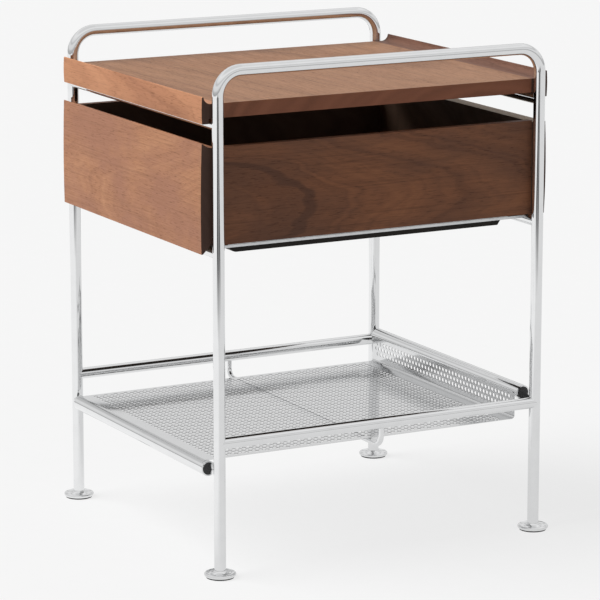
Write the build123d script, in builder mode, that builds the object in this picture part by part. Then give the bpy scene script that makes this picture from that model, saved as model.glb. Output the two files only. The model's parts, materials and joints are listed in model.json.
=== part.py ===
from build123d import *
import os

# Bedside cabinet: two chromed tube side frames, a walnut top with raised lips, a walnut drawer on
# telescopic runners, and a steel shelf. Millimetres. X is the width, -Y the drawer's front, +Z up.
# The origin is on the floor, under the middle of the cabinet.

os.makedirs("parts", exist_ok=True)

# Tube frame
tube_d = 14.0
tube_wall = 1.5
leg_x = 200.5  # leg axes, each side of the middle
leg_y = 216.0
handle_z = 598.0  # axis of the top bars
handle_bend = 29.0  # centre-line radius
top_tube_z = 536.0
drawer_tube_z = 386.5
shelf_rail_z = 161.0

# Feet
foot_d = 38.0
foot_rim = 4.6
foot_neck_d = 17.0
foot_neck_h = 9.0
pad_h = 1.5
spigot_h = 24.0

# Walnut top
panel_half_x = 192.0  # top, lips and both drawer panels pass between the side frames
top_z = 560.0
top_thick = 17.0
lip_y = 232.4  # outer face of the lips
lip_peak_z = 568.4
lip_base_z = 537.0
lip_root_y = 210.0  # glue line between a lip and the board
lip_skirt_y = 223.4  # back of the skirt that hangs in front of the cross tube
top_screw_x = (-120, 0, 120)
top_screw_d = 4.0
top_screw_head_d = 6.0
top_screw_head_h = 1.8
top_screw_access_d = 8.0  # hole under the tube that lets the head in
top_screw_grip = 11.0  # how far a screw goes into the wood

# Drawer
front_y = 234.2  # furthest bulge of the front panel's face
front_low_z = 385.8
front_high_z = 514.4
panel_thick = 20.0
back_y = 232.0
box_low_z = 394.5
box_high_z = 508.8
back_high_z = 507.0
side_thick = 10.0
side_half_x = 191.2
bottom_z = 400.6
bottom_thick = 6.0
groove_depth = 5.0
dowel_d = 6.0
dowel_length = 26.0
dowel_z = (425, 455, 485)
front_bevel = 17.5  # finger bevel under the front panel's inner edge
runner_notch_half = 15.0  # clears the runners under the back panel
runner_notch_top_z = 401.2

# Runners
rail_mid_x = 166.5
rail_width = 30.0
rail_thick = 3.0
rail_top_z = 391.5
runner_front_y = -194.0
runner_back_y = 186.0
sheet = 1.2
clear = 0.3
glide_length = 36.0
glide_h = 3.6
carriage_screw_y = (-160, 0, 150)
carriage_screw_d = 3.0
carriage_head_d = 6.0
carriage_head_h = 1.2
carriage_screw_grip = 4.0

# Dark board that closes the drawer space from below
support_half_x = 180.0
support_front_y = -192.0
support_back_y = 176.0
support_thick = 6.0
support_top_z = rail_top_z - rail_thick
support_screw_y = (-150, 150)
support_screw_d = 4.0
support_head_d = 8.0
support_head_h = 2.0

# Shelf
shelf_tube_d = 18.0
shelf_tube_half = 181.5
shelf_front_y = -221.0
shelf_front_z = 127.7
shelf_rear_y = 211.0
shelf_rear_z = 169.8
plug_depth = 10.0
stub_d = 13.0
rod_d = 7.0
rod_bend = 12.0
tray_half_x = 177.0
tray_thick = 1.0
tray_fold_r = 4.0
tray_corner_r = 5.0  # top corners of the upright rear edge
tray_curl = 40.0  # degrees that the front edge follows round its tube

tube_r = tube_d / 2
shelf_tube_r = shelf_tube_d / 2
tray_low_z = shelf_front_z + shelf_tube_r
rod_z = tray_low_z - rod_d / 2 - 0.2
along_y = (90, 0, 0)  # turns a cylinder from Z to Y
hole_gap = 0.05  # radial room round a screw or a dowel
front_inner_y = -(front_y - panel_thick)
back_inner_y = back_y - panel_thick


def save(piece, name):
    """Labels a finished piece and writes it to its own file."""
    piece.part.label = name
    export_step(piece.part, f"parts/{name}.step")


def side_name(sign):
    return "right" if sign > 0 else "left"


# ---------------------------------------------------------------- side frames and welded tubes


def side_frame(sign):
    """One tube: up the front leg, along the handle and down the rear leg."""
    x = sign * leg_x
    low = foot_neck_h
    with BuildPart() as frame:
        with BuildLine():
            FilletPolyline(
                (x, -leg_y, low),
                (x, -leg_y, handle_z),
                (x, leg_y, handle_z),
                (x, leg_y, low),
                radius=handle_bend,
            )
        with BuildSketch(Plane.XY.offset(low)):
            with Locations((x, -leg_y)):
                Circle(tube_r)
                Circle(tube_r - tube_wall, mode=Mode.SUBTRACT)
        sweep()
    return frame


def cross_tube(y, z, screw_holes=False):
    """A tube between the side frames, with its ends coped to the legs."""
    with BuildPart() as tube:
        with BuildSketch(Plane.YZ.offset(-leg_x)):
            with Locations((y, z)):
                Circle(tube_r)
                Circle(tube_r - tube_wall, mode=Mode.SUBTRACT)
        extrude(amount=2 * leg_x)
        with Locations((-leg_x, y, z), (leg_x, y, z)):
            Cylinder(tube_r, 4 * tube_r, mode=Mode.SUBTRACT)
        if screw_holes:
            with Locations([(x, y, z) for x in top_screw_x]):
                Cylinder(top_screw_d / 2 + hole_gap, 4 * tube_r, mode=Mode.SUBTRACT)
            with Locations([(x, y, z - tube_r) for x in top_screw_x]):
                Cylinder(top_screw_access_d / 2, tube_d, mode=Mode.SUBTRACT)
    return tube


def shelf_side_rail(sign):
    """The tube between the two legs of one side frame."""
    x = sign * leg_x
    with BuildPart() as rail:
        with BuildSketch(Plane.XZ.offset(-leg_y)):
            with Locations((x, shelf_rail_z)):
                Circle(tube_r)
                Circle(tube_r - tube_wall, mode=Mode.SUBTRACT)
        extrude(amount=2 * leg_y)
        with Locations((x, -leg_y, shelf_rail_z), (x, leg_y, shelf_rail_z)):
            Cylinder(tube_r, 4 * tube_r, mode=Mode.SUBTRACT)
    return rail


for side in (-1, 1):
    save(side_frame(side), f"side_frame_{side_name(side)}")
    save(shelf_side_rail(side), f"shelf_side_rail_{side_name(side)}")

save(cross_tube(-leg_y, top_tube_z, screw_holes=True), "top_cross_tube_front")
save(cross_tube(leg_y, top_tube_z, screw_holes=True), "top_cross_tube_rear")
save(cross_tube(-leg_y, drawer_tube_z), "drawer_cross_tube_front")
save(cross_tube(leg_y, drawer_tube_z), "drawer_cross_tube_rear")


# ---------------------------------------------------------------- feet


def foot(x, y):
    """A dished disc with a rounded rim, turned in one piece with its neck and its spigot."""
    rim_r = foot_d / 2
    neck_r = foot_neck_d / 2
    spigot_r = tube_r - tube_wall
    top_z_of_rim = pad_h + foot_rim
    with BuildPart() as disc:
        with BuildSketch(Plane(origin=(x, y, 0), x_dir=(1, 0, 0), z_dir=(0, -1, 0))):
            with BuildLine():
                Polyline((0, foot_neck_h + spigot_h), (0, pad_h), (rim_r - 2, pad_h))
                ThreePointArc(
                    (rim_r - 2, pad_h),
                    (rim_r, pad_h + foot_rim / 2),
                    (rim_r - 2, top_z_of_rim),
                )
                ThreePointArc(
                    (rim_r - 2, top_z_of_rim),
                    (neck_r + 3, top_z_of_rim - 1.2),
                    (tube_r, foot_neck_h),
                )
                Polyline(
                    (tube_r, foot_neck_h),
                    (spigot_r, foot_neck_h),
                    (spigot_r, foot_neck_h + spigot_h),
                    (0, foot_neck_h + spigot_h),
                )
            make_face()
        revolve(axis=Axis((x, y, 0), (0, 0, 1)))
    return disc


leg_places = {
    "front_left": (-leg_x, -leg_y),
    "front_right": (leg_x, -leg_y),
    "rear_left": (-leg_x, leg_y),
    "rear_right": (leg_x, leg_y),
}
for place, (leg_at_x, leg_at_y) in leg_places.items():
    save(foot(leg_at_x, leg_at_y), f"foot_{place}")

with BuildPart() as foot_pads:
    with BuildSketch():
        with Locations(*leg_places.values()):
            Circle(foot_d / 2 - 2.5)
    extrude(amount=pad_h)
save(foot_pads, "foot_pads")


# ---------------------------------------------------------------- walnut top

with BuildPart() as top_board:
    with BuildSketch(Plane.XY.offset(top_z - top_thick)):
        Rectangle(2 * panel_half_x, 2 * lip_root_y)
    extrude(amount=top_thick)
    with Locations([(x, s * leg_y, top_z - top_thick) for x in top_screw_x for s in (-1, 1)]):
        Cylinder(top_screw_d / 2 + hole_gap, 24, mode=Mode.SUBTRACT)
save(top_board, "top_board")


def top_lip(sign):
    """A moulded edge: rounded peak, hollow down to the board, and a skirt in front of the tube."""
    with BuildPart() as lip:
        with BuildSketch(Plane.YZ.offset(-panel_half_x)):
            with BuildLine():
                Line((lip_root_y, top_z), (lip_y - 10.5, top_z))
                ThreePointArc(
                    (lip_y - 10.5, top_z),
                    (lip_y - 5.2, top_z + 2.6),
                    (lip_y - 2.6, lip_peak_z - 0.6),
                )
                ThreePointArc(
                    (lip_y - 2.6, lip_peak_z - 0.6),
                    (lip_y - 1.6, lip_peak_z),
                    (lip_y - 0.6, lip_peak_z - 1.2),
                )
                ThreePointArc(
                    (lip_y - 0.6, lip_peak_z - 1.2),
                    (lip_y, (lip_peak_z + lip_base_z) / 2),
                    (lip_y - 0.6, lip_base_z),
                )
                Polyline(
                    (lip_y - 0.6, lip_base_z),
                    (lip_skirt_y, lip_base_z),
                    (lip_skirt_y, top_z - top_thick),
                    (lip_root_y, top_z - top_thick),
                    (lip_root_y, top_z),
                )
            make_face()
        extrude(amount=2 * panel_half_x)
        if sign < 0:
            mirror(about=Plane.XZ, mode=Mode.REPLACE)
        with Locations([(x, sign * leg_y, top_z - top_thick) for x in top_screw_x]):
            Cylinder(top_screw_d / 2 + hole_gap, 24, mode=Mode.SUBTRACT)
    return lip


save(top_lip(-1), "top_lip_front")
save(top_lip(1), "top_lip_rear")

with BuildPart() as top_screws:
    bore_r = tube_r - tube_wall
    head_top_z = top_tube_z + (bore_r**2 - (top_screw_head_d / 2) ** 2) ** 0.5 - hole_gap
    screw_places = [(x, s * leg_y) for x in top_screw_x for s in (-1, 1)]
    with BuildSketch(Plane.XY.offset(head_top_z - top_screw_head_h)):
        with Locations(*screw_places):
            Circle(top_screw_head_d / 2)
    extrude(amount=top_screw_head_h)
    with BuildSketch(Plane.XY.offset(head_top_z)):
        with Locations(*screw_places):
            Circle(top_screw_d / 2)
    extrude(amount=tube_r + top_screw_grip - (head_top_z - top_tube_z))
save(top_screws, "top_board_screws")


# ---------------------------------------------------------------- drawer box


def dowel_places(y):
    """Centres of the dowels that join the side boards to the panel whose inner face is at y."""
    half = side_half_x - side_thick / 2
    return [(s * half, y, z) for s in (-1, 1) for z in dowel_z]


dowel_hole_r = dowel_d / 2 + hole_gap

with BuildPart() as drawer_front:
    with BuildSketch(Plane.YZ.offset(-panel_half_x)):
        with BuildLine():
            ThreePointArc(
                (-front_y + 0.5, front_low_z),
                (-front_y, (front_low_z + front_high_z) / 2 - 12),
                (-front_y + 1.6, front_high_z - 1),
            )
            ThreePointArc(
                (-front_y + 1.6, front_high_z - 1),
                (-front_y + 2.2, front_high_z),
                (-front_y + 3.2, front_high_z - 0.4),
            )
            ThreePointArc(
                (-front_y + 3.2, front_high_z - 0.4),
                (-front_y + 9.5, box_high_z + 1.5),
                (front_inner_y, box_high_z),
            )
            Polyline(
                (front_inner_y, box_high_z),
                (front_inner_y, front_low_z + front_bevel),
                (front_inner_y - front_bevel, front_low_z),
                (-front_y + 0.5, front_low_z),
            )
        make_face()
    extrude(amount=2 * panel_half_x)
    with Locations(*dowel_places(front_inner_y)):
        Cylinder(dowel_hole_r, dowel_length + 2, rotation=along_y, mode=Mode.SUBTRACT)
    with BuildSketch(Plane.XY.offset(bottom_z)):
        with Locations((0, front_inner_y)):
            Rectangle(2 * (side_half_x - groove_depth), 2 * groove_depth)
    extrude(amount=bottom_thick, mode=Mode.SUBTRACT)
save(drawer_front, "drawer_front")

with BuildPart() as drawer_back:
    with BuildSketch(Plane.YZ.offset(-panel_half_x)):
        with BuildLine():
            ThreePointArc(
                (back_y - 1.6, box_low_z),
                (back_y, (box_low_z + back_high_z) / 2),
                (back_y - 1.6, back_high_z),
            )
            Polyline(
                (back_y - 1.6, back_high_z),
                (back_inner_y, back_high_z),
                (back_inner_y, box_low_z),
                (back_y - 1.6, box_low_z),
            )
        make_face()
    extrude(amount=2 * panel_half_x)
    with Locations(*dowel_places(back_inner_y)):
        Cylinder(dowel_hole_r, dowel_length + 2, rotation=along_y, mode=Mode.SUBTRACT)
    with BuildSketch(Plane.XY.offset(bottom_z)):
        with Locations((0, back_inner_y)):
            Rectangle(2 * (side_half_x - groove_depth), 2 * groove_depth)
    extrude(amount=bottom_thick, mode=Mode.SUBTRACT)
    with BuildSketch(Plane.XY.offset(box_low_z)):
        with Locations((-rail_mid_x, back_inner_y), (rail_mid_x, back_inner_y)):
            Rectangle(2 * runner_notch_half, 3 * panel_thick)
    extrude(amount=runner_notch_top_z - box_low_z, mode=Mode.SUBTRACT)
save(drawer_back, "drawer_back")


def drawer_side(sign):
    """A side board, level with the top of the front panel's hollow, grooved for the bottom."""
    outer = sign * side_half_x
    inner = sign * (side_half_x - side_thick)
    with BuildPart() as board:
        with BuildSketch(Plane.XY.offset(box_low_z)):
            with Locations(((outer + inner) / 2, (front_inner_y + back_inner_y) / 2)):
                Rectangle(side_thick, back_inner_y - front_inner_y)
        extrude(amount=box_high_z - box_low_z)
        with BuildSketch(Plane.XY.offset(bottom_z)):
            with Locations((inner, 0)):
                Rectangle(2 * groove_depth, 2 * leg_y)
        extrude(amount=bottom_thick, mode=Mode.SUBTRACT)
        with Locations(*dowel_places(front_inner_y), *dowel_places(back_inner_y)):
            Cylinder(dowel_hole_r, dowel_length + 2, rotation=along_y, mode=Mode.SUBTRACT)
    return board


for side in (-1, 1):
    save(drawer_side(side), f"drawer_side_{side_name(side)}")

carriage_screws = [(s * rail_mid_x, y, bottom_z) for s in (-1, 1) for y in carriage_screw_y]

with BuildPart() as drawer_bottom:
    bottom_mid_y = (front_inner_y + back_inner_y) / 2
    with BuildSketch(Plane.XY.offset(bottom_z)):
        with Locations((0, bottom_mid_y)):
            Rectangle(
                2 * (side_half_x - side_thick + groove_depth) - 0.4,
                back_inner_y - front_inner_y + 2 * groove_depth - 0.4,
            )
    extrude(amount=bottom_thick)
    with Locations(*carriage_screws):
        Cylinder(carriage_screw_d / 2 + hole_gap, 10, mode=Mode.SUBTRACT)
save(drawer_bottom, "drawer_bottom")

with BuildPart() as drawer_dowels:
    with Locations(*dowel_places(front_inner_y), *dowel_places(back_inner_y)):
        Cylinder(dowel_d / 2, dowel_length, rotation=along_y)
save(drawer_dowels, "drawer_dowels")


# ---------------------------------------------------------------- runners

runner_length = runner_back_y - runner_front_y
runner_mid_y = (runner_back_y + runner_front_y) / 2
fixed_low_z = rail_top_z
middle_low_z = drawer_tube_z + tube_r + 0.8
carriage_low_z = middle_low_z + sheet + clear
fixed_half = rail_width / 2 - 1
middle_half = fixed_half - sheet - 2.0
carriage_half = middle_half - sheet - 1.5


def runner_rail(sign):
    """A flat steel bar on edge with the cross tubes, which carries one runner."""
    x = sign * rail_mid_x
    with BuildPart() as rail:
        with BuildSketch(Plane.XY.offset(rail_top_z - rail_thick)):
            with Locations((x, 0)):
                Rectangle(rail_width, 2 * leg_y)
        extrude(amount=rail_thick)
        with BuildSketch(Plane.YZ.offset(-leg_x)):
            with Locations((-leg_y, drawer_tube_z), (leg_y, drawer_tube_z)):
                Circle(tube_r)
        extrude(amount=2 * leg_x, mode=Mode.SUBTRACT)
        split(bisect_by=Plane.XZ.offset(leg_y - 1), keep=Keep.BOTTOM)
        split(bisect_by=Plane.XZ.offset(1 - leg_y), keep=Keep.TOP)
        with Locations([(x, y, rail_top_z) for y in support_screw_y]):
            Cylinder(support_screw_d / 2 + hole_gap, 4 * rail_thick, mode=Mode.SUBTRACT)
    return rail


def channel(x, half, low, high, opens_up):
    """A folded steel channel along the runner, open at its top or at its bottom."""
    web_low = low if opens_up else high - sheet
    with BuildPart() as profile:
        with BuildSketch(Plane.XY.offset(low)):
            with Locations((x - half + sheet / 2, runner_mid_y), (x + half - sheet / 2, runner_mid_y)):
                Rectangle(sheet, runner_length)
        extrude(amount=high - low)
        with BuildSketch(Plane.XY.offset(web_low)):
            with Locations((x, runner_mid_y)):
                Rectangle(2 * half, runner_length)
        extrude(amount=sheet)
        if not opens_up:
            with Locations(*carriage_screws):
                Cylinder(carriage_screw_d / 2 + hole_gap, 10, mode=Mode.SUBTRACT)
    return profile


def runner_glides(sign):
    """Nylon blocks on the outside of the middle member, which guide it in the fixed one."""
    x = sign * rail_mid_x
    gap = fixed_half - sheet - middle_half
    with BuildPart() as blocks:
        for end_y in (runner_back_y - glide_length, runner_mid_y):
            with BuildSketch(Plane.XY.offset(middle_low_z)):
                with Locations(
                    (x - middle_half - gap / 2 + 0.05, end_y), (x + middle_half + gap / 2 - 0.05, end_y)
                ):
                    Rectangle(gap - 0.1, glide_length)
            extrude(amount=glide_h)
    return blocks


for side in (-1, 1):
    runner_x = side * rail_mid_x
    save(runner_rail(side), f"runner_rail_{side_name(side)}")
    save(
        channel(runner_x, fixed_half, fixed_low_z, bottom_z - clear, opens_up=True),
        f"runner_fixed_{side_name(side)}",
    )
    save(
        channel(runner_x, middle_half, middle_low_z, bottom_z - clear - sheet, opens_up=True),
        f"runner_middle_{side_name(side)}",
    )
    save(
        channel(runner_x, carriage_half, carriage_low_z, bottom_z, opens_up=False),
        f"runner_carriage_{side_name(side)}",
    )
    save(runner_glides(side), f"runner_glides_{side_name(side)}")

with BuildPart() as runner_screws:
    carriage_head_z = bottom_z - sheet
    screw_places = [(x, y) for x, y, z in carriage_screws]
    with BuildSketch(Plane.XY.offset(carriage_head_z - carriage_head_h)):
        with Locations(*screw_places):
            Circle(carriage_head_d / 2)
    extrude(amount=carriage_head_h)
    with BuildSketch(Plane.XY.offset(carriage_head_z)):
        with Locations(*screw_places):
            Circle(carriage_screw_d / 2)
    extrude(amount=sheet + carriage_screw_grip)
save(runner_screws, "runner_screws")


# ---------------------------------------------------------------- support board

support_places = [(s * rail_mid_x, y, support_top_z) for s in (-1, 1) for y in support_screw_y]

with BuildPart() as support_board:
    with BuildSketch(Plane.YZ.offset(-support_half_x)):
        with BuildLine():
            Polyline(
                (support_front_y, support_top_z),
                (support_back_y, support_top_z),
                (support_back_y - 4, support_top_z - support_thick),
                (support_front_y + 11, support_top_z - support_thick),
            )
            ThreePointArc(
                (support_front_y + 11, support_top_z - support_thick),
                (support_front_y + 3, support_top_z - 0.6 * support_thick),
                (support_front_y, support_top_z),
            )
        make_face()
    extrude(amount=2 * support_half_x)
    with Locations(*support_places):
        Cylinder(support_screw_d / 2 + hole_gap, 4 * support_thick, mode=Mode.SUBTRACT)
save(support_board, "drawer_support_board")

with BuildPart() as support_screws:
    support_head_z = support_top_z - support_thick
    screw_places = [(x, y) for x, y, z in support_places]
    with BuildSketch(Plane.XY.offset(support_head_z - support_head_h)):
        with Locations(*screw_places):
            Circle(support_head_d / 2)
    extrude(amount=support_head_h)
    with BuildSketch(Plane.XY.offset(support_head_z)):
        with Locations(*screw_places):
            Circle(support_screw_d / 2)
    extrude(amount=support_thick + rail_thick - 0.5)
save(support_screws, "support_board_screws")


# ---------------------------------------------------------------- shelf


def shelf_tube(y, z):
    """A larger tube that carries one edge of the tray and stops short of the legs."""
    with BuildPart() as tube:
        with BuildSketch(Plane.YZ.offset(-shelf_tube_half)):
            with Locations((y, z)):
                Circle(shelf_tube_r)
                Circle(shelf_tube_r - tube_wall, mode=Mode.SUBTRACT)
        extrude(amount=2 * shelf_tube_half)
    return tube


save(shelf_tube(shelf_front_y, shelf_front_z), "shelf_front_tube")
save(shelf_tube(shelf_rear_y, shelf_rear_z), "shelf_rear_tube")

with BuildPart() as shelf_plugs:
    for start_x in (-shelf_tube_half, shelf_tube_half - plug_depth):
        with BuildSketch(Plane.YZ.offset(start_x)):
            with Locations((shelf_front_y, shelf_front_z), (shelf_rear_y, shelf_rear_z)):
                Circle(shelf_tube_r - tube_wall)
        extrude(amount=plug_depth)
save(shelf_plugs, "shelf_tube_plugs")


def shelf_stub(sign, y, z):
    """A short bar from the leg to the plugged end of a shelf tube, coped to the leg."""
    with BuildPart() as stub:
        with BuildSketch(Plane.YZ.offset(sign * shelf_tube_half)):
            with Locations((y, z)):
                Circle(stub_d / 2)
        extrude(amount=sign * (leg_x - shelf_tube_half))
        with Locations((sign * leg_x, -leg_y, z), (sign * leg_x, leg_y, z)):
            Cylinder(tube_r, 4 * tube_r, mode=Mode.SUBTRACT)
        with Locations((sign * leg_x, 0, shelf_rail_z)):
            Cylinder(tube_r, 2 * leg_y, rotation=along_y, mode=Mode.SUBTRACT)
    return stub


for side in (-1, 1):
    save(shelf_stub(side, -leg_y, shelf_front_z), f"shelf_stub_front_{side_name(side)}")
    save(shelf_stub(side, leg_y, shelf_rail_z), f"shelf_stub_rear_{side_name(side)}")

with BuildPart() as support_rod:
    with BuildLine():
        FilletPolyline(
            (-leg_x, 0, shelf_rail_z),
            (-leg_x, 0, rod_z),
            (leg_x, 0, rod_z),
            (leg_x, 0, shelf_rail_z),
            radius=rod_bend,
        )
    with BuildSketch(Plane.XY.offset(shelf_rail_z)):
        with Locations((-leg_x, 0)):
            Circle(rod_d / 2)
    sweep()
    with Locations((-leg_x, 0, shelf_rail_z), (leg_x, 0, shelf_rail_z)):
        Cylinder(tube_r, 4 * tube_r, rotation=along_y, mode=Mode.SUBTRACT)
save(support_rod, "shelf_support_rod")

with BuildPart() as tray:
    mid_z = tray_low_z + tray_thick / 2
    curl_r = shelf_tube_r + tray_thick / 2
    wall_y = shelf_rear_y - shelf_tube_r - tray_thick / 2
    fold_y = wall_y - tray_fold_r
    with BuildSketch(Plane.YZ.offset(-tray_half_x)):
        with BuildLine():
            CenterArc((shelf_front_y, shelf_front_z), curl_r, 90, tray_curl)
            Line((shelf_front_y, mid_z), (fold_y, mid_z))
            CenterArc((fold_y, mid_z + tray_fold_r), tray_fold_r, -90, 90)
            Line((wall_y, mid_z + tray_fold_r), (wall_y, shelf_rear_z))
        trace(line_width=tray_thick)
    extrude(amount=2 * tray_half_x)
    wall_corners = tray.edges().filter_by(Axis.Y).group_by(Axis.Z)[-1]
    fillet(wall_corners, tray_corner_r)
save(tray, "shelf_tray")
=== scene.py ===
import json
import math

import bpy
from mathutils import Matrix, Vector


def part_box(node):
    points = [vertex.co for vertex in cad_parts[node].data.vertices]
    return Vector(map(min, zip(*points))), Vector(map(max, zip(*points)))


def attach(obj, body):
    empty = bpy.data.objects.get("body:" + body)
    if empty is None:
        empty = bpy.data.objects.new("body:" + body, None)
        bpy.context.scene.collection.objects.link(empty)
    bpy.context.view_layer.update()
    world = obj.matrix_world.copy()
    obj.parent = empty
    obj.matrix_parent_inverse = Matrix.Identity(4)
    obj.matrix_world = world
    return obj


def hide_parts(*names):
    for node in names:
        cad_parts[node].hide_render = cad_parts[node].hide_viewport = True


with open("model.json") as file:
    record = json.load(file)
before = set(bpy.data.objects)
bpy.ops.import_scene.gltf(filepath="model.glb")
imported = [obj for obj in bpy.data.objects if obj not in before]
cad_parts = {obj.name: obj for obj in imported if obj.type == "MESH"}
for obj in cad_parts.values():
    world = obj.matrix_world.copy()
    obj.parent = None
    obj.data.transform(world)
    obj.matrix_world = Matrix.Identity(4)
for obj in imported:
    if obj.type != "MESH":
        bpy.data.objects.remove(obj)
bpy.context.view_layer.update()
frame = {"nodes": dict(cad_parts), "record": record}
nodes = frame["nodes"]

# ---------------------------------------------------------------- camera

AIM = Vector((0.0043, -0.0049, 0.2742))
AZIMUTH, PITCH = 61.87, 12.09  # degrees
DISTANCE = 4.0504
LENS, SENSOR = 196.26, 36.0  # millimetres
FAR_CLIP = 100

camera_data = bpy.data.cameras.new("camera")
camera = bpy.data.objects.new("camera", camera_data)
bpy.context.scene.collection.objects.link(camera)
camera_data.lens = LENS
camera_data.sensor_width = SENSOR
camera_data.clip_end = FAR_CLIP
turn, tilt = math.radians(AZIMUTH), math.radians(PITCH)
back = Vector((math.sin(turn) * math.cos(tilt), -math.cos(turn) * math.cos(tilt), math.sin(tilt)))
camera.location = AIM + back * DISTANCE
camera.rotation_euler = (math.pi / 2 - tilt, 0, turn)
bpy.context.scene.camera = camera
bpy.context.scene.view_settings.view_transform = "Standard"

# ---------------------------------------------------------------- node graphs

MOST = (0.3, 0.7)  # where most of a noise's values lie


def rgba(colour, factor=1.0):
    return (*(factor * c for c in colour), 1)


def grey(value):
    return (value, value, value, 1)


class Graph:
    """The node tree of a material or a world, with short ways to add nodes and sums."""

    def __init__(self, owner, output):
        owner.use_nodes = True
        self.owner = owner
        self.tree = owner.node_tree
        self.tree.nodes.clear()
        self.output = self.add(output)

    def put(self, socket, value):
        if isinstance(value, bpy.types.NodeSocket):
            self.tree.links.new(value, socket)
        else:
            socket.default_value = value

    def add(self, kind, inputs=None, **settings):
        node = self.tree.nodes.new("ShaderNode" + kind)
        for key, value in settings.items():
            setattr(node, key, value)
        for key, value in (inputs or {}).items():
            self.put(node.inputs[key], value)
        return node

    def math(self, operation, a, b=0.0):
        return self.add("Math", {0: a, 1: b}, operation=operation).outputs[0]

    def times(self, a, b):
        return self.math("MULTIPLY", a, b)

    def spread(self, value, low, high, to_low=0.0, to_high=1.0):
        """value from low..high stretched to to_low..to_high, held at both ends."""
        inputs = {"Value": value, "From Min": low, "From Max": high, "To Min": to_low, "To Max": to_high}
        return self.add("MapRange", inputs, clamp=True).outputs[0]

    def mix(self, share, a, b):
        """Colour a, with that share of colour b."""
        node = self.add("Mix", data_type="RGBA")
        for socket, value in ((0, share), (6, a), (7, b)):
            self.put(node.inputs[socket], value)
        return node.outputs[2]

    def ramp(self, value, stops):
        node = self.add("ValToRGB", {0: value})
        elements = node.color_ramp.elements
        while len(elements) < len(stops):
            elements.new(0.5)
        for element, (place, colour) in zip(elements, stops):
            element.position = place
            element.color = rgba(colour)
        return node.outputs[0]

    def vector(self, x, y, z):
        return self.add("CombineXYZ", {0: x, 1: y, 2: z}).outputs[0]

    def parts(self, vector):
        return self.add("SeparateXYZ", {0: vector}).outputs

    def along(self, vector, direction):
        """How far vector reaches in a direction."""
        return self.add("VectorMath", {0: vector, 1: direction}, operation="DOT_PRODUCT").outputs["Value"]

    def noise(self, where, scale, detail=2.0, roughness=0.5):
        inputs = {"Vector": where, "Scale": scale, "Detail": detail, "Roughness": roughness}
        return self.add("TexNoise", inputs).outputs[0]

    def noise_1d(self, w, scale, detail=2.0):
        inputs = {"W": w, "Scale": scale, "Detail": detail}
        return self.add("TexNoise", inputs, noise_dimensions="1D").outputs[0]

    def bump(self, height, strength, distance):
        return self.add("Bump", {"Height": height, "Strength": strength, "Distance": distance}).outputs[0]

    def emission(self, strength):
        return self.add("Emission", {"Color": grey(1), "Strength": strength}).outputs[0]

    def mix_shader(self, share, a, b):
        return self.add("MixShader", {0: share, 1: a, 2: b}).outputs[0]

    def finish(self, shader):
        self.put(self.output.inputs[0], shader)
        return self.owner

    def principled(self, **inputs):
        """Ends the graph with the surface shader. Its inputs are named with _ for a space."""
        named = {key.replace("_", " "): value for key, value in inputs.items()}
        return self.finish(self.add("BsdfPrincipled", named).outputs[0])


def material_graph(name):
    return Graph(bpy.data.materials.new(name), "OutputMaterial")


# ---------------------------------------------------------------- wood

AXES = {"X": 0, "Y": 1, "Z": 2}
# Features a metre: along the grain, across it and into the board.
WANDER_AT = (3.2, 9.0, 1.0)
RIPPLE_AT = (14.0, 42.0, 1.0)
HAIRLINE_AT = (7.0, 420.0, 420.0)
FIBRE_AT = (22.0, 900.0, 900.0)
PORE_AT = (95.0, 950.0, 950.0)
END_SPECKS = 1500.0
WANDER, RIPPLE = 0.075, 0.010  # how far the rings stray, in metres
WIDE_RINGS, NARROW_RINGS = 55.0, 330.0  # a metre
WIDE_SHARE, NARROW_SHARE = 0.62, 0.38
MIDDLE_TONE = 0.42  # where the middle of the three tones lies
# The stretch of each noise over which its mark goes from nothing to full.
TONE_RANGE = (0.28, 0.72)
CLOUD_RANGE = (0.40, 0.62)
HAIRLINE_RANGE = (0.56, 0.66)
FIBRE_RANGE = (0.35, 0.7)
PORE_RANGE = (0.60, 0.70)
PORES_BY_TONE = (0.35, 0.6, 1.0, 0.45)  # from the dark bands' tone to the light ones', and their pores
HAIRLINE_DARK, FIBRE_DARK, PORE_DARK = 0.75, 0.7, 0.35  # shares of the dark bands' colour
SQUARELY = (0.6, 0.8)  # how much of a normal lies along an axis, from not at all to facing it
END_DARK, END_LIGHT, END_RINGS = 0.55, 1.5, 0.4  # end grain's specks and rings
# The first is how far the painted shade inside the drawer lightens with the rings.
INNER_SHADE_LIGHT, CROWN_DARK = 1.6, 0.8
PORE_GLOSS_LOSS, FIBRE_HEIGHT = 0.15, 0.4
WOOD_BUMP = (0.25, 0.00015)
# Faces that look inwards from this far out are darkened as painted shade inside the drawer.
INNER_FROM, INNER_TO = -0.16, -0.12  # metres from the cabinet's middle, for a face that looks inwards
SATIN = (0.48, 0.60)  # roughness


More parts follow.
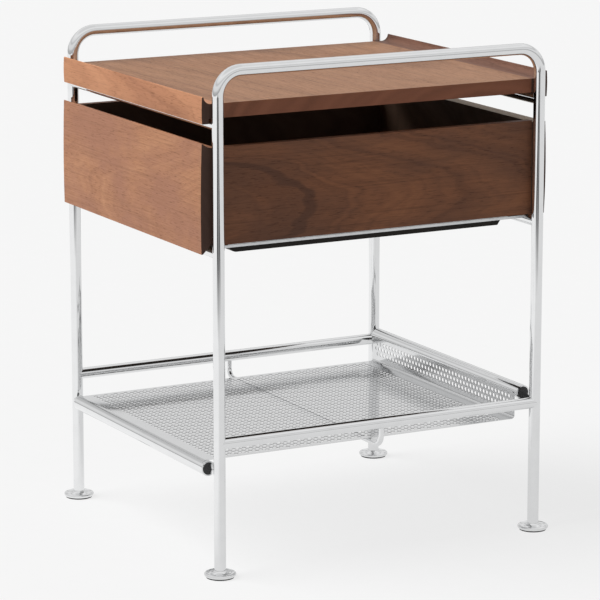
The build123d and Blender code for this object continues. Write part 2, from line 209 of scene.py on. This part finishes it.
def walnut(name, axes, pith, taper, tones, end_tone, shift=(0, 0, 0), blotch=0.35, figure=1.0, inner=None,
           streak=0.22, cloud=(8.0, 20.0), crown=None):
    """Oiled walnut. axes is along the grain, across it and into the board; pith is where the middle of
    the trunk lies, across and into the board; tones run from the dark bands to the light ones, with the
    clouds' tone last. inner is the colour of painted shade on the faces that look towards the middle of
    the cabinet, inside the drawer. blotch is how strong the clouds are, and figure how far the rings
    wander.
    streak is how dark the fibres run, and cloud is how many clouds of a redder tone lie in a metre,
    each way. crown is the colour of the top edge, where it isn't the same veneer."""
    g = material_graph(name)
    coords = g.add("TexCoord")
    moved = g.add("VectorMath", {0: coords.outputs["Object"], 1: shift}, operation="ADD").outputs[0]
    parts = g.parts(moved)
    along, across, deep = (parts[AXES[a]] for a in axes)

    def stretched(lengthwise, crosswise, inwards=1.0):
        depth = deep if inwards == 1.0 else g.times(deep, inwards)
        return g.vector(g.times(along, lengthwise), g.times(across, crosswise), depth)

    # growth rings round the pith, with a slow wander that is long along the grain
    slow = g.noise(stretched(*WANDER_AT), 1.0, 3.0)
    wander = g.times(g.math("SUBTRACT", slow, 0.5), WANDER * figure)
    ripple = g.times(g.math("SUBTRACT", g.noise(stretched(*RIPPLE_AT), 1.0, 3.0), 0.5), RIPPLE)
    aside = g.math("ADD", g.math("SUBTRACT", across, pith[0]), wander)
    below = g.math("SUBTRACT", deep, pith[1])
    squares = (g.math("POWER", g.math("ABSOLUTE", leg), 2.0) for leg in (aside, below))
    ring = g.math("SQRT", g.math("ADD", *squares))
    ring = g.math("ADD", ring, g.times(along, taper))
    ring = g.math("ADD", ring, ripple)
    wide = g.noise_1d(ring, WIDE_RINGS, 1.0)
    narrow = g.noise_1d(ring, NARROW_RINGS, 2.0)
    tone = g.math("ADD", g.times(wide, WIDE_SHARE), g.times(narrow, NARROW_SHARE))
    stops = [(0.0, tones[0]), (MIDDLE_TONE, tones[1]), (1.0, tones[2])]
    colour = g.ramp(g.spread(tone, *TONE_RANGE), stops)
    # clouds of a redder, darker tone
    reddish = g.spread(g.noise(stretched(*cloud), 1.0, 5.0, 0.6), *CLOUD_RANGE)
    colour = g.mix(g.times(reddish, blotch), colour, rgba(tones[3]))
    # long dark hairlines, fine fibre streaks, and open pores as short dark flecks
    line = g.spread(g.noise(stretched(*HAIRLINE_AT), 1.0, 2.0), *HAIRLINE_RANGE, 0.0, streak)
    colour = g.mix(line, colour, rgba(tones[0], HAIRLINE_DARK))
    fibre = g.noise(stretched(*FIBRE_AT), 1.0, 3.0, 0.6)
    pore = g.spread(g.noise(stretched(*PORE_AT), 1.0, 1.0), *PORE_RANGE)
    pore = g.times(pore, g.spread(tone, *PORES_BY_TONE))
    colour = g.mix(g.spread(fibre, *FIBRE_RANGE, 0.0, streak), colour, rgba(tones[0], FIBRE_DARK))
    colour = g.mix(g.times(pore, 0.25 + streak), colour, rgba(tones[0], PORE_DARK))
    # end grain drinks the finish and goes dark
    normals = g.parts(coords.outputs["Normal"])
    end = g.spread(g.math("ABSOLUTE", normals[AXES[axes[0]]]), *SQUARELY)
    speck = g.noise(g.vector(deep, across, along), END_SPECKS, 2.0)
    end_colour = g.mix(g.spread(speck, *FIBRE_RANGE), rgba(end_tone), rgba(end_tone, END_DARK))
    end_colour = g.mix(g.spread(wide, *MOST, 0.0, END_RINGS), end_colour, rgba(end_tone, END_LIGHT))
    colour = g.mix(end, colour, end_colour)
    # painted shade: faces that look inwards, inside the drawer, are darkened to the inner colour
    if inner:
        inwards = AXES[axes[2]]
        facing = g.times(normals[inwards], g.parts(coords.outputs["Object"])[inwards])
        inner_shade = g.mix(g.spread(tone, *MOST), rgba(inner), rgba(inner, INNER_SHADE_LIGHT))
        colour = g.mix(g.spread(facing, INNER_FROM, INNER_TO, 1.0, 0.0), colour, inner_shade)
    if crown:
        banding = g.mix(g.spread(fibre, *MOST), rgba(crown), rgba(crown, CROWN_DARK))
        colour = g.mix(g.spread(normals["Z"], *SQUARELY), colour, banding)
    height = g.math("SUBTRACT", g.times(fibre, FIBRE_HEIGHT), pore)
    return g.principled(
        Base_Color=colour,
        Roughness=g.math("ADD", g.times(pore, PORE_GLOSS_LOSS), g.spread(fibre, *MOST, *SATIN)),
        Specular_IOR_Level=0.2,
        Normal=g.bump(height, *WOOD_BUMP),
    )


# ---------------------------------------------------------------- metal and plastic

SCRATCHES = 900.0  # a metre
METAL_TINT, PLASTIC_TINT = 0.975, 1.35  # how far the clouds change the colour
PLASTIC_CLOUDS = 45.0  # a metre
PLASTIC_GLOSS = 0.06  # how far the grain changes the roughness, each way

def metal(name, colour, roughness, smear=0.0, wave=0.02, coarse=60.0):
    """Plated or bare metal: a little unevenness in gloss, and faint marks from handling."""
    g = material_graph(name)
    where = g.add("TexCoord").outputs["Object"]
    cloud = g.noise(where, coarse, 3.0)
    fine = g.noise(where, SCRATCHES, 2.0)
    dull = g.math("ADD", g.spread(cloud, 0.35, 0.75, roughness, roughness + smear), g.times(fine, 0.02))
    tint = g.mix(g.spread(cloud, 0.4, 0.7), rgba(colour), rgba(colour, METAL_TINT))
    return g.principled(Base_Color=tint, Metallic=1.0, Roughness=dull, Normal=g.bump(cloud, wave, 0.0002))


def moulded(name, colour, roughness, grain=700.0, strength=0.2):
    """Moulded plastic or rubber with a fine spark-eroded grain."""
    g = material_graph(name)
    where = g.add("TexCoord").outputs["Object"]
    skin = g.noise(where, grain, 2.0)
    cloud = g.noise(where, PLASTIC_CLOUDS, 2.0)
    tint = g.mix(g.spread(cloud, *MOST), rgba(colour), rgba(colour, PLASTIC_TINT))
    dull = g.spread(skin, *MOST, roughness - PLASTIC_GLOSS, roughness + PLASTIC_GLOSS)
    return g.principled(Base_Color=tint, Roughness=dull, Normal=g.bump(skin, strength, 0.0001))


# ---------------------------------------------------------------- the materials

# Dark bands, middle, light bands, and the clouds' tone.
FRONT_WALNUT = ((0.31, 0.142, 0.077), (0.44, 0.207, 0.110), (0.51, 0.253, 0.134), (0.36, 0.168, 0.105))
LIP_WALNUT = ((0.35, 0.153, 0.080), (0.53, 0.248, 0.130), (0.60, 0.290, 0.155), (0.47, 0.206, 0.114))
TOP_WALNUT = ((0.24, 0.120, 0.066), (0.38, 0.195, 0.107), (0.45, 0.235, 0.130), (0.34, 0.160, 0.090))
# Painted shade: the rear lip's walnut, the front lip's made about three times darker.
SHADED_BACK_LIP = ((0.12, 0.060, 0.042), (0.17, 0.082, 0.055), (0.20, 0.100, 0.066), (0.14, 0.068, 0.048))
# Painted shade: the drawer sides' walnut, a darker copy of the front's for the shade on the sides.
SHADED_SIDE_WALNUT = ((0.130, 0.054, 0.030), (0.265, 0.107, 0.053), (0.360, 0.146, 0.068), (0.130, 0.064, 0.043))
# Painted shade: the drawer's bottom is made dark for the shade inside the drawer.
SHADED_LINING = ((0.100, 0.068, 0.050), (0.130, 0.088, 0.066), (0.148, 0.100, 0.076), (0.106, 0.072, 0.053))
BLACK_BOARD = ((0.012, 0.009, 0.007), (0.020, 0.014, 0.011), (0.028, 0.020, 0.015), (0.014, 0.010, 0.008))
BEECH = ((0.42, 0.28, 0.15), (0.55, 0.38, 0.22), (0.64, 0.47, 0.30), (0.50, 0.33, 0.19))
EDGE_TONE = (0.27, 0.102, 0.056)
END_TONE = (0.085, 0.046, 0.034)
# Painted shade inside the drawer, on the faces that look inwards.
INNER_SHADE = (0.105, 0.066, 0.046)
PALE_BANDING = (0.62, 0.47, 0.34)

chrome = metal("chrome", (0.79, 0.795, 0.80), 0.03, smear=0.03)
tray_chrome = metal("tray_chrome", (0.69, 0.695, 0.70), 0.08, smear=0.04)
cut_edge = metal("cut_edge", (0.11, 0.11, 0.113), 0.3)
zinc = metal("zinc", (0.62, 0.63, 0.64), 0.28, smear=0.12, wave=0.3, coarse=160.0)
screw_steel = metal("screw_steel", (0.52, 0.53, 0.54), 0.32, smear=0.1, wave=0.3, coarse=300.0)
plug_black = moulded("plug_black", (0.030, 0.030, 0.031), 0.48)
nylon = moulded("nylon", (0.70, 0.69, 0.64), 0.45, 400.0, 0.1)
pad_rubber = moulded("pad_rubber", (0.030, 0.030, 0.030), 0.75)
top_walnut = walnut(
    "top_walnut", "XYZ", (0.35, 0.30), 0.10, TOP_WALNUT, EDGE_TONE,
    shift=(0.4, 0.2, 0), blotch=0.3, figure=0.5, streak=0.6, cloud=(4.0, 24.0),
)
lip_walnut = walnut(
    "lip_walnut", "XZY", (0.52, -0.45), 0.05, LIP_WALNUT, END_TONE,
    shift=(0.1, 0, 0), blotch=0.3, figure=0.4, streak=0.15,
)
# The rear lip, in walnut darkened as painted shade.
shaded_back_lip_walnut = walnut(
    "shaded_back_lip_walnut", "XZY", (0.52, -0.45), 0.05, SHADED_BACK_LIP, END_TONE,
    shift=(0.7, 0, 0), blotch=0.3, figure=0.4,
)
front_walnut = walnut(
    "front_walnut", "XZY", (0.40, -0.33), -0.22, FRONT_WALNUT, END_TONE,
    shift=(0.9, 0, 0), blotch=0.85, inner=INNER_SHADE, streak=0.3, cloud=(9.0, 13.0),
)
back_walnut = walnut(
    "back_walnut", "XZY", (0.46, 0.30), 0.18, FRONT_WALNUT, END_TONE,
    shift=(0.3, 0, 0), blotch=0.5, inner=INNER_SHADE, crown=PALE_BANDING,
)
# The drawer sides, in walnut darkened as painted shade.
shaded_side_walnut = walnut(
    "shaded_side_walnut", "YZX", (0.43, 0.27), 0.14, SHADED_SIDE_WALNUT, END_TONE,
    shift=(0, 0.25, 0), blotch=0.6, inner=INNER_SHADE, streak=0.3, cloud=(6.0, 14.0),
)
# The drawer's bottom, darkened as painted shade.
shaded_lining = walnut("shaded_lining", "XYZ", (0.0, 0.3), 0.1, SHADED_LINING, SHADED_LINING[0])
dark_board = walnut("dark_board", "XYZ", (0.0, 0.3), 0.1, BLACK_BOARD, BLACK_BOARD[0], shift=(0.5, 0, 0))
beech = walnut("beech", "YZX", (0.4, 0.3), 0.1, BEECH, BEECH[0])

by_slot = {
    "chrome_tube": chrome,
    "chrome_foot": chrome,
    "zinc_steel": zinc,
    "screw_steel": screw_steel,
    "tray_steel": tray_chrome,
    "walnut_top": top_walnut,
    "walnut_drawer": front_walnut,
    "drawer_lining": shaded_lining,
    "beech_dowel": beech,
    "black_board": dark_board,
    "black_plug": plug_black,
    "nylon": nylon,
    "foot_pad": pad_rubber,
}
by_node = {
    "top_lip_front": lip_walnut,
    "top_lip_rear": shaded_back_lip_walnut,
    "drawer_back": back_walnut,
    "drawer_side_left": shaded_side_walnut,
    "drawer_side_right": shaded_side_walnut,
}
for part in frame["record"]["subparts"]:
    name = part["node"]
    mesh = nodes[name].data
    mesh.materials.clear()
    mesh.materials.append(by_node.get(name, by_slot[part["material_slot"]]))

# ---------------------------------------------------------------- perforated tray

PITCH_X = 0.008  # 5 mm holes, staggered at 60 degrees
ROW = PITCH_X * math.sqrt(3) / 2
HOLE_R = 0.0025
HOLE_SIDES = 12
SHEET = 0.0006
FOLD_R = 0.0035  # the fold's radius, at the middle of the sheet
CURL = math.radians(40)  # how far the front edge goes round its tube
SHARP = math.radians(35)  # edges over this angle aren't smoothed
ROUND_STEPS = 6  # bands in the curl, the fold and the rounded corners
FIRST_ROW = 0.012  # from the crown of the front tube to the first row's edge
FLOOR_ROWS, WALL_ROWS = 57, 3
WALL_MARGIN = 0.0033  # plain band over the top row
CORNER_R = 0.005
CORNER_GAP = 0.0004  # least plain band between the top row and the rounded corners
# The corners of a hole's cell, from the lower right round to it again: the column and row beside the
# hole's own, and the hole's point that faces the corner, in twelfths of a turn.
CELL_CORNERS = ((1, 0, -1), (1, 1, 1), (0, 1, 3), (-1, 1, 5), (-1, 0, 7), (0, 0, 9), (1, 0, 11))


def span(low, high, steps):
    return [low + (high - low) * i / steps for i in range(steps + 1)]


def tray_mesh():
    """The folded sheet: a curl over the front tube, the floor, the fold and the upright rear edge, with
    two faces, a round hole through each second cell of a row, and a rim."""
    _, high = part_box("shelf_tray")
    tube_low, tube_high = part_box("shelf_front_tube")
    half = high.x
    crown_y = (tube_low.y + tube_high.y) / 2
    curl_r = (tube_high.z - tube_low.z) / 2 + SHEET / 2
    curl_z = (tube_high.z + tube_low.z) / 2
    floor_z = curl_z + curl_r
    wall_y = high.y - SHEET / 2
    flat_end = wall_y - FOLD_R - crown_y
    fold_end = flat_end + FOLD_R * math.pi / 2
    top = fold_end + high.z - floor_z - FOLD_R

    def place(s):
        """The sheet's centre line and the way its upper face looks, s along it from the tube's crown."""
        if s < 0:
            a = -s / curl_r
            return crown_y - curl_r * math.sin(a), curl_z + curl_r * math.cos(a), -math.sin(a), math.cos(a)
        if s < flat_end:
            return crown_y + s, floor_z, 0, 1
        if s < fold_end:
            b = (s - flat_end) / FOLD_R
            y = wall_y - FOLD_R + FOLD_R * math.sin(b)
            return y, floor_z + FOLD_R * (1 - math.cos(b)), -math.sin(b), math.cos(b)
        return wall_y, floor_z + FOLD_R + s - fold_end, -1, 0

    wall_start = top - WALL_MARGIN - WALL_ROWS * ROW
    floor_lines = [FIRST_ROW + ROW * i for i in range(FLOOR_ROWS + 1)]
    wall_lines = [wall_start + ROW * i for i in range(WALL_ROWS + 1)]
    # where each band starts along the sheet, and which cells have holes, or None for a plain band
    bands = [(s, None) for s in span(-CURL * curl_r, 0, ROUND_STEPS)]
    bands += [(s, i % 2) for i, s in enumerate(floor_lines[:-1])]
    bands += [(floor_lines[-1], None)]
    bands += [(s, None) for s in span(flat_end, fold_end, ROUND_STEPS)]
    bands += [(s, (i + 1) % 2) for i, s in enumerate(wall_lines[:-1])]
    bands += [(wall_lines[-1], None)]
    corner_start = max(wall_lines[-1] + CORNER_GAP, top - CORNER_R)
    bands += [(s, None) for s in span(corner_start, top, ROUND_STEPS)]

    columns = int((half - HOLE_R) / (PITCH_X / 2))
    columns -= columns % 2 == 0
    xs = [-half] + [k * PITCH_X / 2 for k in range(-columns, columns + 1)] + [half]
    verts, faces, cut_faces = [], [], []

    def vertex(x, s, face):
        y, z, ny, nz = place(s)
        verts.append((x, y + face * ny * SHEET / 2, z + face * nz * SHEET / 2))
        return len(verts) - 1

    def end_x(x, s):
        """x, pulled in at the sheet's two ends where its top corners are rounded."""
        over = max(0, s - (top - CORNER_R))
        pull = CORNER_R - math.sqrt(max(0, CORNER_R**2 - over**2))
        return math.copysign(abs(x) - pull, x) if abs(x) == half else x

    grid = {}
    for face in (1, -1):
        for row, (s, _) in enumerate(bands):
            for column, x in enumerate(xs):
                grid[face, row, column] = vertex(end_x(x, s), s, face)

    def add_face(corners, face):
        faces.append(corners if face > 0 else corners[::-1])

    def holes(row, parity):
        """Adds a row's holes and returns the columns that they fill."""
        s = (bands[row][0] + bands[row + 1][0]) / 2
        taken = set()
        for column in range(2, len(xs) - 2):
            step = column - 1 - columns
            if step % 2 != parity:
                continue
            taken.update((column - 1, column))
            rings = {}
            for face in (1, -1):
                ring = []
                for k in range(HOLE_SIDES):
                    a = 2 * math.pi * k / HOLE_SIDES
                    ring.append(vertex(xs[column] + HOLE_R * math.cos(a), s + HOLE_R * math.sin(a), face))
                rings[face] = ring
                edge = [(grid[face, row + up, column + aside], point) for aside, up, point in CELL_CORNERS]
                for (p, i), (q, j) in zip(edge, edge[1:]):
                    inner = [ring[k % HOLE_SIDES] for k in range(j, i - 1, -1)]
                    add_face([p, q, *inner], face)
            for k in range(HOLE_SIDES):
                n = (k + 1) % HOLE_SIDES
                cut_faces.append(len(faces))
                faces.append([rings[1][k], rings[1][n], rings[-1][n], rings[-1][k]])
        return taken

    for row in range(len(bands) - 1):
        parity = bands[row][1]
        taken = holes(row, parity) if parity is not None else set()
        for column in range(len(xs) - 1):
            if column in taken:
                continue
            for face in (1, -1):
                corners = [(row, column), (row, column + 1), (row + 1, column + 1), (row + 1, column)]
                add_face([grid[face, r, c] for r, c in corners], face)
    last_row, last_column = len(bands) - 1, len(xs) - 1
    rim = [(0, c) for c in range(last_column)] + [(r, last_column) for r in range(last_row)]
    rim += [(last_row, c) for c in range(last_column, 0, -1)] + [(r, 0) for r in range(last_row, 0, -1)]
    for (r0, c0), (r1, c1) in zip(rim, rim[1:] + rim[:1]):
        faces.append([grid[-1, r0, c0], grid[-1, r1, c1], grid[1, r1, c1], grid[1, r0, c0]])
    mesh = bpy.data.meshes.new("perforated_tray")
    mesh.from_pydata(verts, [], faces)
    mesh.update()
    for index in cut_faces:
        mesh.polygons[index].material_index = 1
    return mesh


def add_piece(name, mesh, material, body, replaced):
    piece = bpy.data.objects.new(name, mesh)
    bpy.context.scene.collection.objects.link(piece)
    mesh.materials.append(material)
    mesh.shade_smooth()
    mesh.set_sharp_from_angle(angle=SHARP)
    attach(piece, body)
    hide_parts(*replaced)
    return piece


tray = add_piece("perforated_tray", tray_mesh(), tray_chrome, "frame", ["shelf_tray"])
tray.data.materials.append(cut_edge)

# ---------------------------------------------------------------- floor and light

FLOOR_SIZE = 60.0
PALE = 0.913  # the backdrop, as the camera sees it
PAPER = (0.87, 0.89)
PAPER_MOTTLE = 30.0  # clouds a metre
GLOW, GLOW_SHARE = 0.92, 0.82  # the paper's own light, which keeps its shadows faint
FLOOR_BOUNCE, WALL_BOUNCE = 0.34, 0.30  # what lights the object from the floor and the walls
VIEW_RIGHT = (math.cos(turn), math.sin(turn), 0.0)
TOWARDS_CAMERA = (math.sin(turn), -math.cos(turn), 0.0)

# What polished metal sees of the floor, in metres from the middle of the cabinet.
PAPER_END = (1.45, 2.1)  # the paper ends in front and behind, over this stretch
PAPER_SIDE = (0.95, 1.15)  # beyond this on either side the paper goes on
PAST_PAPER = 0.08
GAP_MIDDLE, GAP, GAP_SHADE = 0.16, (0.06, 0.22), 0.35  # a lighter strip through the dark ends
LAMP_SIDE = (-0.35, -0.05)  # the paper is lighter to the left of this stretch and darker to its right
LAMP_SIDE_LIGHT, LAMP_SIDE_SHARE = (1.09, 0.77), 0.6

# What it sees of the walls: how bright they are at each height of view, from level to straight up.
WALLS = ((0.0, 0.45), (0.10, 0.62), (0.16, 0.80), (0.34, 0.86), (0.45, 0.62), (0.56, 0.84), (0.78, 0.96),
         (0.92, 0.78))

LAMP_FROM = (-0.45, -1.0, 1.15)
LAMP_STRENGTH, LAMP_ANGLE = 3.3, 50  # degrees: a wide, soft lamp


def floor_material():
    """A pale paper sweep. Polished metal sees it end in front and behind, and lighter on the left, and
    what it throws back onto the object is held down, as a studio with grey walls would."""
    g = material_graph("studio_floor")
    place = g.add("TexCoord").outputs["Object"]
    paper = g.noise(place, PAPER_MOTTLE, 2.0)
    tint = g.mix(g.spread(paper, *MOST), grey(PAPER[0]), grey(PAPER[1]))
    lit = g.add("BsdfDiffuse", {"Color": tint}).outputs[0]
    seen = g.mix_shader(GLOW_SHARE, lit, g.emission(GLOW))
    dim = g.add("BsdfDiffuse", {"Color": grey(FLOOR_BOUNCE)}).outputs[0]
    across = g.along(place, VIEW_RIGHT)
    ahead = g.along(place, TOWARDS_CAMERA)
    paper_end = g.spread(g.math("ABSOLUTE", ahead), *PAPER_END)
    gap = g.spread(g.math("ABSOLUTE", g.math("SUBTRACT", across, GAP_MIDDLE)), *GAP, GAP_SHADE, 1.0)
    side = g.spread(g.math("ABSOLUTE", across), *PAPER_SIDE, 1.0, 0.0)
    dark = g.times(g.times(paper_end, gap), side)
    lamp_side = g.emission(g.spread(across, *LAMP_SIDE, *LAMP_SIDE_LIGHT))
    mirrored = g.mix_shader(dark, g.mix_shader(LAMP_SIDE_SHARE, seen, lamp_side), g.emission(PAST_PAPER))
    rays = g.add("LightPath").outputs
    out = g.mix_shader(rays["Is Glossy Ray"], seen, mirrored)
    return g.finish(g.mix_shader(rays["Is Diffuse Ray"], out, dim))


def add_floor():
    mesh = bpy.data.meshes.new("floor")
    h = FLOOR_SIZE / 2
    mesh.from_pydata([(-h, -h, 0), (h, -h, 0), (h, h, 0), (-h, h, 0)], [], [(0, 1, 2, 3)])
    mesh.materials.append(floor_material())
    floor = bpy.data.objects.new("floor", mesh)
    bpy.context.scene.collection.objects.link(floor)


def add_walls():
    world = bpy.data.worlds.new("studio")
    bpy.context.scene.world = world
    g = Graph(world, "OutputWorld")
    towards = g.parts(g.add("TexCoord").outputs["Generated"])
    rays = g.add("LightPath").outputs
    walls = g.ramp(towards["Z"], [(height, (level,) * 3) for height, level in WALLS])
    walls = g.mix(rays["Is Diffuse Ray"], walls, grey(WALL_BOUNCE))
    walls = g.mix(rays["Is Camera Ray"], walls, grey(PALE))
    g.finish(g.add("Background", {0: walls}).outputs[0])


def add_lamp():
    data = bpy.data.lights.new("key", "SUN")
    data.energy = LAMP_STRENGTH
    data.angle = math.radians(LAMP_ANGLE)
    lamp = bpy.data.objects.new("key", data)
    lamp.visible_glossy = False  # polished metal sees the studio and not the lamp
    lamp.rotation_mode = "QUATERNION"
    lamp.rotation_quaternion = Vector(LAMP_FROM).to_track_quat("Z", "Y")
    bpy.context.scene.collection.objects.link(lamp)


add_floor()
add_walls()
add_lamp()
